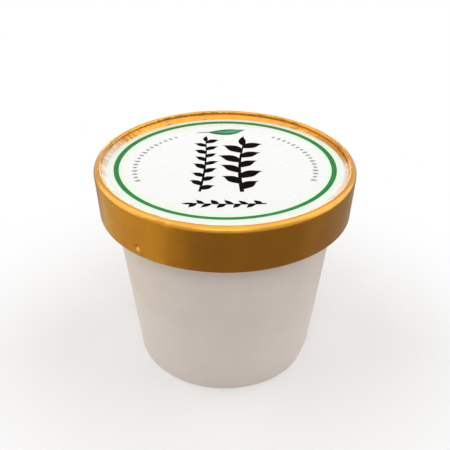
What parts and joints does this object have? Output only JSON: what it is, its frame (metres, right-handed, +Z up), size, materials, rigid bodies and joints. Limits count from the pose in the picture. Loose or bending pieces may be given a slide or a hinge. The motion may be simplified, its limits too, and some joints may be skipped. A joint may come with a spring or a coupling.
{
  "type": "gelato cup",
  "caption": "Small tapered white paper cup of gelato, closed by a press-on paper lid with a gold skirt and a sunk white top panel.",
  "frame": {"origin": "middle of the cup's foot, on the surface that it stands on", "axes": "+Z up along the cup's axis, -Y the front, from which the leaf on the lid is at the far side"},
  "size_m": [0.076, 0.076, 0.0653],
  "materials": {
    "cup_paper": "satin coated white paperboard",
    "gold_paper": "satin gold metallised paperboard",
    "panel_card": "glossy white coated card with a plain printed ring and leaves"
  },
  "bodies": {
    "root": {"cup": "cup_paper", "cup_base_disc": "cup_paper", "lid_band": "gold_paper", "lid_panel": "panel_card"}
  },
  "joints": []
}
